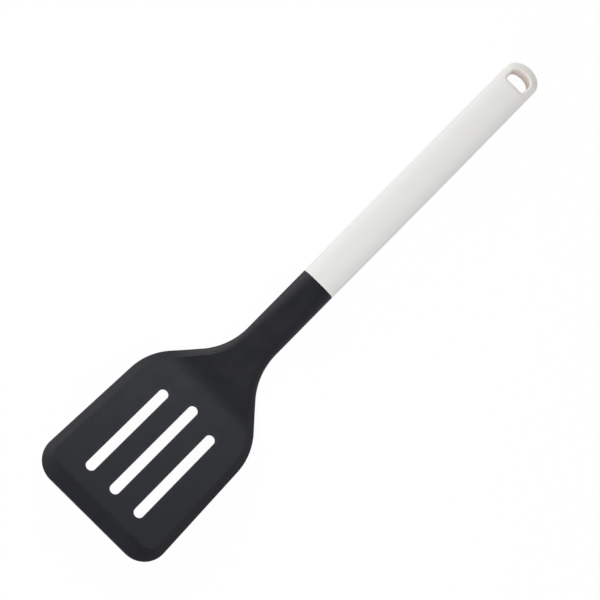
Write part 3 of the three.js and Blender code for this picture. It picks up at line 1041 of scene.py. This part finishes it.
def hole_point_towards(places):
    """The hole's outline seen from its middle in the direction of each place."""
    from_middle = hole_points - (hole_middle, 0.0)
    angles = np.arctan2(from_middle[:, 1], from_middle[:, 0])
    order = np.argsort(angles)
    wanted = np.arctan2(places[:, 1], places[:, 0] - hole_middle)
    reach = np.interp(wanted, angles[order], np.hypot(*from_middle.T)[order], period=2 * np.pi)
    return np.stack([hole_middle + reach * np.cos(wanted), reach * np.sin(wanted)], axis=1)


tip_gap = hole_distance(np.array([handle_length]), np.zeros(1))[0]
print(f"the ring beyond the hole is {tip_gap / MM:.2f} mm wide")

# %% [markdown]
# ## The handle's skin
# The skin is moulded over a stiff core, so it is a shell that is closed at the hanging end. Its
# patches are the face and back of the bar, the rings round the hole on both faces, the strips
# along the sides and the tip, the wall of the hole, the ring at the seam, and the hollow for the
# core. A Solidify modifier would make a wall too, but it would also hollow out the solid end.

# %% A length of bar
GRIP_BAND_STEPS = 18
GRIP_PANEL_STEPS = 8


def handle_places(x, y, height):
    return np.stack(np.broadcast_arrays(seam_x + x, y, height), axis=-1)


def handle_row(x, inset, drawn_in=0.0):
    """One row of the face and one of the back of the bar, or of the hollow in it."""
    half = handle_side(x) - inset
    band = min(FACE_ROUNDING * (seam_thickness - 2 * inset), MOST_BAND * half)
    y = places_across(half, band, GRIP_BAND_STEPS, GRIP_PANEL_STEPS)
    rows = []
    for height in handle_heights(x, y, inset):
        share = 1 - drawn_in / (seam_thickness / 2)
        height = middle_height + (height - middle_height) * share
        rows.append(handle_places(x, y * (half - drawn_in) / half, height))
    return rows


def bar_patches(stations, inset, drawn_in=None):
    """Face, back and side strips of a length of bar."""
    drawn_in = np.zeros(len(stations)) if drawn_in is None else drawn_in
    rows = [handle_row(x, inset, drawn) for x, drawn in zip(stations, drawn_in)]
    face, back = (np.stack(side) for side in zip(*rows))
    sides = [np.stack([face[:, end], back[:, end]]) for end in (0, -1)]
    return face, back, sides


print("points in a row of the handle:", len(handle_row(0.0, 0.0)[0]))

# %% Rings round the hole
HOLE_RIM = 1.7 * MM
RING_ZONE = 8 * MM
RING_COUNT = 30
SIDE_POINTS = 21
TIP_POINTS = 49
WALL_ROWS = 9
ring_start = hole_start - RING_ZONE


def ring_outline():
    """The border of the ring zone: one side, the tip, the other side, and the row across."""
    xs = np.linspace(ring_start, tip_start, SIDE_POINTS)
    angles = np.linspace(-np.pi / 2, np.pi / 2, TIP_POINTS)[1:-1]
    tip_x = tip_start + TIP_LENGTH * np.cos(angles)
    tip = np.stack([tip_x, handle_side(tip_x) * np.sin(angles)], axis=1)
    side = np.stack([xs, handle_side(xs)], axis=1)
    across = handle_row(ring_start, 0.0)[0][1:-1, 1]
    row = np.stack([np.full(len(across), ring_start), across[::-1]], axis=1)
    return np.concatenate([side * (1, -1), tip, side[::-1], row]), 2 * len(side) + len(tip)


def ring_patches():
    """Rings from the outline to the hole on both faces, the tip's strip and the hole's wall."""
    outline, free = ring_outline()
    hole = hole_point_towards(outline)
    shares = (1 - np.cos(np.linspace(0, np.pi, RING_COUNT + 1))) / 2
    plan = lerp(outline[None], hole[None], shares[:, None, None])
    x, y = plan[..., 0], plan[..., 1]
    face, back = handle_heights(x, y, 0.0)
    drop = edge_drop(hole_distance(x, y), HOLE_RIM)
    drop[-1] = HOLE_RIM
    face = handle_places(x, y, face - drop)
    back = handle_places(x, y, back + drop)
    edge_strip = np.stack([face[0, :free], back[0, :free]])
    wall = lerp(face[-1][None], back[-1][None], np.linspace(0, 1, WALL_ROWS)[:, None, None])
    return [(face, True), (back, True), (edge_strip, False), (wall, True)]


print("points in a ring round the hole:", len(ring_outline()[0]))

# %% Join the patches of the grip
CORE_TO_HOLE = 4.5 * MM
SEAM_SHOWN = 0.18 * MM
BAR_ROWS = 61
HOLLOW_ROWS = 13
core_end = hole_start - CORE_TO_HOLE


def grip_patches():
    quarter = np.linspace(0, np.pi / 2, SEAM_STEPS + 1)
    rounding = SEAM_SHOWN + SEAM_ROUND * (1 - np.cos(quarter))
    drawn_in = edge_drop(rounding - SEAM_SHOWN, SEAM_ROUND)
    bar = np.linspace(rounding[-1], ring_start, BAR_ROWS)[1:]
    stations = np.concatenate([rounding, bar])
    face, back, sides = bar_patches(stations, 0.0, np.append(drawn_in, np.zeros(len(bar))))
    hollow = np.linspace(SEAM_SHOWN, core_end + FIT_GAP, HOLLOW_ROWS)
    in_face, in_back, in_sides = bar_patches(hollow, SKIN_WALL)
    mouths = [np.stack([face[0], back[0]]), np.stack([in_face[0], in_back[0]])]
    seam_ring = np.stack([border(mouth) for mouth in mouths])
    hollow_floor = np.stack([in_face[-1], in_back[-1]])
    plain = [face, back, *sides, in_face, in_back, *in_sides, hollow_floor]
    return [(patch, False) for patch in plain] + [(seam_ring, True)] + ring_patches()


grip = piece_from_patches("grip", grip_patches())
grip.data.materials.append(matte_off_white)

# %% [markdown]
# ## Where the edges are
# The finishes ask each point how near an edge it is. For the head that is the outline of the
# blade and the rims of the slots, and for the grip it is the rim of the hole. The rules that made
# the shapes also measure the distances. Values painted by hand would have to be painted again
# after every change of a size.

# %% Helpers that store a value on each point
WEAR_REACH = 0.8 * MM


def points_of(piece):
    flat = np.empty(3 * len(piece.data.vertices), np.float32)
    piece.data.vertices.foreach_get("co", flat)
    return flat.reshape(-1, 3).astype(float)


def store_values(piece, name, values):
    attribute = piece.data.attributes.new(name, "FLOAT", "POINT")
    attribute.data.foreach_set("value", values.astype(np.float32))
    print(f"{piece.name}: {name} over one half at {int((values > 0.5).sum())} points")


def store_edge_wear(piece, distance):
    store_values(piece, EDGE_ATTRIBUTE, np.exp(-((np.maximum(distance, 0) / WEAR_REACH) ** 2)))


half_worn = WEAR_REACH * np.sqrt(np.log(2))
print(f"wear is down to one half {half_worn / MM:.2f} mm from an edge")

# %% Edges of the head
def head_edge_distance(points):
    """Distance from the blade's outline and from the rims of the slots."""
    x, y, z = points.T
    up_blade = (slot_foot[0] - x) * np.cos(BEND) + (z - slot_foot[2]) * np.sin(BEND)
    along = np.where(seam_x - x < heel_start, seam_x - x, head_length - SLOT_TO_LEAD + up_blade)
    outline, _ = head_rim(np.clip(along, 0, head_length), y, SIDE_BEVEL)
    from_foot = head_length - SLOT_TO_LEAD - along
    rims = [np.where(along < LAND_FULL, BLADE_WIDTH, outline)]
    for row in range(-(SLOT_COUNT // 2), SLOT_COUNT // 2 + 1):
        length = middle_slot - abs(row) * SLOT_STEP
        nearest = np.clip(from_foot, SLOT_WIDTH / 2, length - SLOT_WIDTH / 2)
        rims.append(np.abs(np.hypot(from_foot - nearest, y - row * SLOT_PITCH) - SLOT_WIDTH / 2))
    return np.minimum.reduce(rims)


store_edge_wear(head, head_edge_distance(points_of(head)))

# %% Edges of the grip, and nearness to its hole
RING_FADE = (1.5 * MM, 4.5 * MM)
WALL_FADE = (0.0, HOLE_RIM / 2)

grip_points = points_of(grip)
to_hole = hole_distance(grip_points[:, 0] - seam_x, grip_points[:, 1])
store_edge_wear(grip, to_hole - HOLE_RIM / 2)
# The nearness to the hole also masks the painted warm shade of its ring and its wall.
on_ring = 1 - smooth_step(to_hole, *RING_FADE)
on_wall = 1 - smooth_step(to_hole, *WALL_FADE)
store_values(grip, HOLE_SHADE_ATTRIBUTE, ON_RING * on_ring + (1 - ON_RING) * on_wall)

# %% [markdown]
# ## Join the pieces to the frame
# Head and grip stand in for the nodes that they follow. The core and the seal are out of sight
# inside the handle, so their nodes stay and only get their finishes.

# %% Ride and replace, and give the hidden pieces their finishes
for piece, node, slot in ((head, "turner_head", "black_nylon"), (grip, "grip_skin", "off_white_skin")):
    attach(piece, "root")
    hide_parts(node)
    print(piece.name, "stands in for", node)

for node, finish in (("handle_core", pale_core), ("tang_seal", grey_seal)):
    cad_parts[node].data.materials.clear()
    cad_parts[node].data.materials.append(finish)
    print(node, "keeps its solid, in", finish.name)

# %% [markdown]
# ## Floor and light
# The turner lies on a white table. To the camera, the table is mostly a plain white glow, with
# just enough of a lit surface to keep the shadow. To diffuse rays it is an even, white sheet, as
# bright as a lit table is, which also reaches into the hanging hole from below. Gloss mirrors
# only a part of the glow, because the table is darker close to what lies on it. A shadow catcher
# keeps a shadow too, but its picture has to be laid over a background afterwards.

# %% Helpers for the floor's shaders
def diffuse(tree, level):
    return add_node(tree, "ShaderNodeBsdfDiffuse", {"Color": (level, level, level, 1.0)}).outputs[0]


def glow(tree, strength):
    return add_node(tree, "ShaderNodeEmission", {"Strength": strength}).outputs[0]


def mix_shader(tree, share, first, second):
    return add_node(tree, "ShaderNodeMixShader", {0: share, 1: first, 2: second}).outputs[0]


# %% Floor
FLOOR_SIZE = 30
FLOOR_DROP = 0.3 * MM
FLOOR_WHITE = 0.75
FLOOR_BOUNCE = 0.86
GLOSS_SHARE = 0.15
SHADOW_SHARE = 0.045
LIT_LEVEL = 0.9


def white_floor():
    mesh = bpy.data.meshes.new("floor")
    half = FLOOR_SIZE / 2
    corners = [(-half, -half), (half, -half), (half, half), (-half, half)]
    mesh.from_pydata([(x, y, -FLOOR_DROP) for x, y in corners], [], [(0, 1, 2, 3)])
    floor = bpy.data.objects.new("floor", mesh)
    bpy.context.scene.collection.objects.link(floor)
    paint = bpy.data.materials.new("white_floor")
    paint.use_nodes = True
    tree = paint.node_tree
    tree.nodes.clear()
    ray = add_node(tree, "ShaderNodeLightPath").outputs
    lighting = mix_shader(
        tree, ray["Is Diffuse Ray"], diffuse(tree, FLOOR_WHITE), glow(tree, FLOOR_BOUNCE)
    )
    lit = glow(tree, 1 - LIT_LEVEL * SHADOW_SHARE)
    shown = add_node(tree, "ShaderNodeAddShader", {0: diffuse(tree, SHADOW_SHARE), 1: lit}).outputs[0]
    in_gloss = math_node(tree, "MULTIPLY", ray["Is Glossy Ray"], GLOSS_SHARE)
    seen = math_node(tree, "MAXIMUM", ray["Is Camera Ray"], ray["Is Transmission Ray"])
    seen = math_node(tree, "MAXIMUM", seen, in_gloss)
    surface = mix_shader(tree, seen, lighting, shown)
    add_node(tree, "ShaderNodeOutputMaterial", {"Surface": surface})
    mesh.materials.append(paint)
    return floor


floor = white_floor()
print("floor laid", FLOOR_DROP / MM, "mm under the tool")

# %% [markdown]
# Four softboxes light it. Two stand on the left, one low and one high, and draw the long soft
# highlight on the neck. One beyond the blade shines back into the hanging hole. A small, cool one
# above and beyond the handle's end is mirrored by the raised blade, most of all near the bend, and
# a grid in front of it keeps its light off the handle. A sky picture would give less control over
# where the black head shines.

# %% Softboxes
MIDDLE = (0.0, 0.0, 0.0)
BLADE_FOOT = (-0.1, 0.0, 0.01)
COOL_WHITE = (0.85, 0.92, 1.0)
GRID_ANGLE = np.radians(75)


def softbox(name, place, aim, size, power):
    lamp = bpy.data.lights.new(name, "AREA")
    lamp.shape = "RECTANGLE"
    lamp.size, lamp.size_y = size
    lamp.energy = power
    stand = bpy.data.objects.new(name, lamp)
    away = Vector(place) - Vector(aim)
    stand.location = place
    stand.rotation_euler = away.to_track_quat("Z", "Y").to_euler()
    bpy.context.scene.collection.objects.link(stand)
    print(f"{name}: {power} W at {away.length:.2f} m")
    return lamp


softbox("low_key", place=(0.34, 1.24, 0.40), aim=MIDDLE, size=(1.2, 0.45), power=4.2)
softbox("high_key", place=(0.28, 0.75, 1.1), aim=MIDDLE, size=(1.2, 0.5), power=2.6)
softbox("far_light", place=(-1.16, -0.1, 0.81), aim=MIDDLE, size=(0.8, 0.8), power=8.8)
blade_light = softbox(
    "blade_light", place=(0.33, 0.08, 0.36), aim=BLADE_FOOT, size=(0.15, 0.15), power=0.043
)
blade_light.spread = GRID_ANGLE
blade_light.color = COOL_WHITE

# %% [markdown]
# The surroundings are a grey room, darker overhead, where the flat faces of the black head mirror
# it. Only the camera sees it white.

# %% Surroundings
AROUND = 0.60
OVERHEAD = 0.28
OVERHEAD_EDGE = (0.7, 0.9)


def surroundings():
    world = bpy.data.worlds.new("surroundings")
    world.use_nodes = True
    tree = world.node_tree
    towards = add_node(tree, "ShaderNodeTexCoord").outputs["Generated"]
    upwards = add_node(tree, "ShaderNodeSeparateXYZ", {"Vector": towards}).outputs["Z"]
    lighting = map_range(tree, upwards, *OVERHEAD_EDGE, AROUND, OVERHEAD)
    seen = add_node(tree, "ShaderNodeLightPath").outputs["Is Camera Ray"]
    strength = math_node(tree, "MAXIMUM", lighting, seen)
    background = tree.nodes["Background"]
    background.inputs["Color"].default_value = (1.0, 1.0, 1.0, 1.0)
    tree.links.new(strength, background.inputs["Strength"])
    return world


bpy.context.scene.world = surroundings()
bpy.context.scene.view_settings.view_transform = "Standard"
print(f"surroundings: {AROUND} around, {OVERHEAD} overhead")

# %% [markdown]
# ## Camera
# The camera looks down almost square on the handle, leaning a little towards the blade, and is
# turned so that the tool lies corner to corner in a square picture. Right, up and back are worked
# out from those angles and set as the camera's matrix. A Track To constraint could aim it, but it
# would keep the picture level.

# %% Set the camera
LOOKS_AT = Vector((-10.77 * MM, 0.99 * MM, 6.75 * MM))
DISTANCE = 899 * MM
LEAN_TO_BLADE = np.radians(6.85)
LEAN_TO_SIDE = np.radians(-0.73)
PICTURE_TURN = np.radians(45.34)
LENS = 99.04
SENSOR = 36


def turner_camera():
    level = np.cos(LEAN_TO_SIDE)
    lean = (-np.sin(LEAN_TO_BLADE) * level, np.sin(LEAN_TO_SIDE), np.cos(LEAN_TO_BLADE) * level)
    back = Vector(lean)
    tool = Vector((1, 0, 0)) - back * back.x
    tool.normalize()
    side = tool.cross(back)
    right = tool * np.cos(PICTURE_TURN) + side * np.sin(PICTURE_TURN)
    up = tool * np.sin(PICTURE_TURN) - side * np.cos(PICTURE_TURN)
    lens = bpy.data.cameras.new("camera")
    lens.lens = LENS
    lens.sensor_width = SENSOR
    camera = bpy.data.objects.new("camera", lens)
    axes = Matrix((right, up, back)).transposed().to_4x4()
    camera.matrix_world = Matrix.Translation(LOOKS_AT + back * DISTANCE) @ axes
    bpy.context.scene.collection.objects.link(camera)
    return camera


bpy.context.scene.camera = turner_camera()
print("camera at", [round(value, 3) for value in bpy.context.scene.camera.matrix_world.translation])
